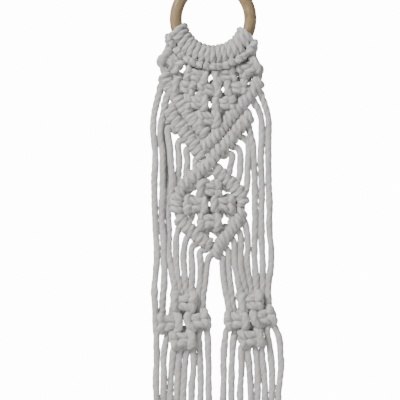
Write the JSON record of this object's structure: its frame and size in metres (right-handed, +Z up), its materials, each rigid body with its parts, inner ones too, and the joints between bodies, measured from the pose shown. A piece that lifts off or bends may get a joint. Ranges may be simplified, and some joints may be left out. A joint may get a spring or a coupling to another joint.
{
  "type": "knotted cord wall hanging",
  "caption": "Wall hanging of thick soft cotton cord knotted on a wooden ring: a net point, diagonal ridges, a diamond, two knotted bundles and a fringe of loose tails.",
  "frame": {"origin": "the hanging point: the top of the hole in the wooden ring, where a nail or hook holds it, halfway through the ring's thickness", "axes": "+Z up, +X to the right as seen from the room, +Y towards the wall; the front faces -Y"},
  "size_m": [0.1059, 0.0203, 0.406],
  "materials": {
    "ring_wood": "smooth turned beech, bare and matt",
    "cotton_cord": "soft single-twist natural cotton cord, undyed"
  },
  "bodies": {
    "ring": {"wooden_ring": "ring_wood"},
    "panel": {"larks_head_1": "cotton_cord", "larks_head_2": "cotton_cord", "larks_head_3": "cotton_cord", "larks_head_4": "cotton_cord", "larks_head_5": "cotton_cord", "larks_head_6": "cotton_cord", "larks_head_7": "cotton_cord", "larks_head_8": "cotton_cord", "net_knot_1_1": "cotton_cord", "net_knot_1_2": "cotton_cord", "net_knot_1_3": "cotton_cord", "net_knot_1_4": "cotton_cord", "net_knot_2_1": "cotton_cord", "net_knot_2_2": "cotton_cord", "net_knot_2_3": "cotton_cord", "net_knot_3_1": "cotton_cord", "net_knot_3_2": "cotton_cord", "net_knot_4_1": "cotton_cord", "diamond_knot_top": "cotton_cord", "diamond_knot_left": "cotton_cord", "diamond_knot_right": "cotton_cord", "diamond_knot_bottom": "cotton_cord", "left_v_bar": "cotton_cord", "right_v_bar": "cotton_cord", "second_left_bar": "cotton_cord", "long_bar": "cotton_cord", "diamond_top_right_bar": "cotton_cord", "diamond_bottom_left_bar": "cotton_cord", "diamond_bottom_right_bar": "cotton_cord", "free_run_left_1": "cotton_cord", "free_run_left_2": "cotton_cord", "free_run_left_3": "cotton_cord", "free_run_right_1": "cotton_cord", "free_run_right_2": "cotton_cord", "free_run_right_3": "cotton_cord"},
    "left_bundle": {"left_bundle_knot_top": "cotton_cord", "left_bundle_knot_left": "cotton_cord", "left_bundle_knot_right": "cotton_cord", "left_bundle_knot_bottom": "cotton_cord"},
    "right_bundle": {"right_bundle_knot_top": "cotton_cord", "right_bundle_knot_left": "cotton_cord", "right_bundle_knot_right": "cotton_cord", "right_bundle_knot_bottom": "cotton_cord"},
    "tail_1": {"tail_1": "cotton_cord"},
    "tail_2": {"tail_2": "cotton_cord"},
    "tail_3": {"tail_3": "cotton_cord"},
    "tail_4": {"tail_4": "cotton_cord"},
    "tail_5": {"tail_5": "cotton_cord"},
    "tail_6": {"tail_6": "cotton_cord"},
    "tail_7": {"tail_7": "cotton_cord"},
    "tail_8": {"tail_8": "cotton_cord"},
    "tail_9": {"tail_9": "cotton_cord"},
    "tail_10": {"tail_10": "cotton_cord"},
    "tail_11": {"tail_11": "cotton_cord"},
    "tail_12": {"tail_12": "cotton_cord"},
    "tail_13": {"tail_13": "cotton_cord"},
    "tail_14": {"tail_14": "cotton_cord"},
    "tail_15": {"tail_15": "cotton_cord"},
    "tail_16": {"tail_16": "cotton_cord"}
  },
  "joints": [
    {"name": "panel_swing", "type": "hinge", "parent": "ring", "child": "panel", "pos_m": [0, 0, -0.025], "axis": [0, 1, 0], "range_deg": [-35, 35]},
    {"name": "left_bundle_lift", "type": "hinge", "parent": "panel", "child": "left_bundle", "pos_m": [0, 0, -0.223], "axis": [-1, 0, 0], "range_deg": [0, 60]},
    {"name": "right_bundle_lift", "type": "hinge", "parent": "panel", "child": "right_bundle", "pos_m": [0, 0, -0.223], "axis": [-1, 0, 0], "range_deg": [0, 60]},
    {"name": "tail_1_lift", "type": "hinge", "parent": "left_bundle", "child": "tail_1", "pos_m": [-0.0422, 0, -0.276], "axis": [-1, 0, 0], "range_deg": [0, 75]},
    {"name": "tail_2_lift", "type": "hinge", "parent": "left_bundle", "child": "tail_2", "pos_m": [-0.0368, 0, -0.2782], "axis": [-1, 0, 0], "range_deg": [0, 75]},
    {"name": "tail_3_lift", "type": "hinge", "parent": "left_bundle", "child": "tail_3", "pos_m": [-0.0314, 0, -0.2896], "axis": [-1, 0, 0], "range_deg": [0, 75]},
    {"name": "tail_4_lift", "type": "hinge", "parent": "left_bundle", "child": "tail_4", "pos_m": [-0.0264, 0, -0.291], "axis": [-1, 0, 0], "range_deg": [0, 75]},
    {"name": "tail_5_lift", "type": "hinge", "parent": "left_bundle", "child": "tail_5", "pos_m": [-0.0214, 0, -0.291], "axis": [-1, 0, 0], "range_deg": [0, 75]},
    {"name": "tail_6_lift", "type": "hinge", "parent": "left_bundle", "child": "tail_6", "pos_m": [-0.0164, 0, -0.2894], "axis": [-1, 0, 0], "range_deg": [0, 75]},
    {"name": "tail_7_lift", "type": "hinge", "parent": "left_bundle", "child": "tail_7", "pos_m": [-0.011, 0, -0.2768], "axis": [-1, 0, 0], "range_deg": [0, 75]},
    {"name": "tail_8_lift", "type": "hinge", "parent": "left_bundle", "child": "tail_8", "pos_m": [-0.0054, 0, -0.2746], "axis": [-1, 0, 0], "range_deg": [0, 75]},
    {"name": "tail_9_lift", "type": "hinge", "parent": "right_bundle", "child": "tail_9", "pos_m": [0.0119, 0, -0.2738], "axis": [-1, 0, 0], "range_deg": [0, 75]},
    {"name": "tail_10_lift", "type": "hinge", "parent": "right_bundle", "child": "tail_10", "pos_m": [0.0173, 0, -0.2768], "axis": [-1, 0, 0], "range_deg": [0, 75]},
    {"name": "tail_11_lift", "type": "hinge", "parent": "right_bundle", "child": "tail_11", "pos_m": [0.0234, 0, -0.2884], "axis": [-1, 0, 0], "range_deg": [0, 75]},
    {"name": "tail_12_lift", "type": "hinge", "parent": "right_bundle", "child": "tail_12", "pos_m": [0.0285, 0, -0.2902], "axis": [-1, 0, 0], "range_deg": [0, 75]},
    {"name": "tail_13_lift", "type": "hinge", "parent": "right_bundle", "child": "tail_13", "pos_m": [0.0336, 0, -0.2902], "axis": [-1, 0, 0], "range_deg": [0, 75]},
    {"name": "tail_14_lift", "type": "hinge", "parent": "right_bundle", "child": "tail_14", "pos_m": [0.0387, 0, -0.2882], "axis": [-1, 0, 0], "range_deg": [0, 75]},
    {"name": "tail_15_lift", "type": "hinge", "parent": "right_bundle", "child": "tail_15", "pos_m": [0.043, 0, -0.2756], "axis": [-1, 0, 0], "range_deg": [0, 75]},
    {"name": "tail_16_lift", "type": "hinge", "parent": "right_bundle", "child": "tail_16", "pos_m": [0.0486, 0, -0.272], "axis": [-1, 0, 0], "range_deg": [0, 75]}
  ]
}
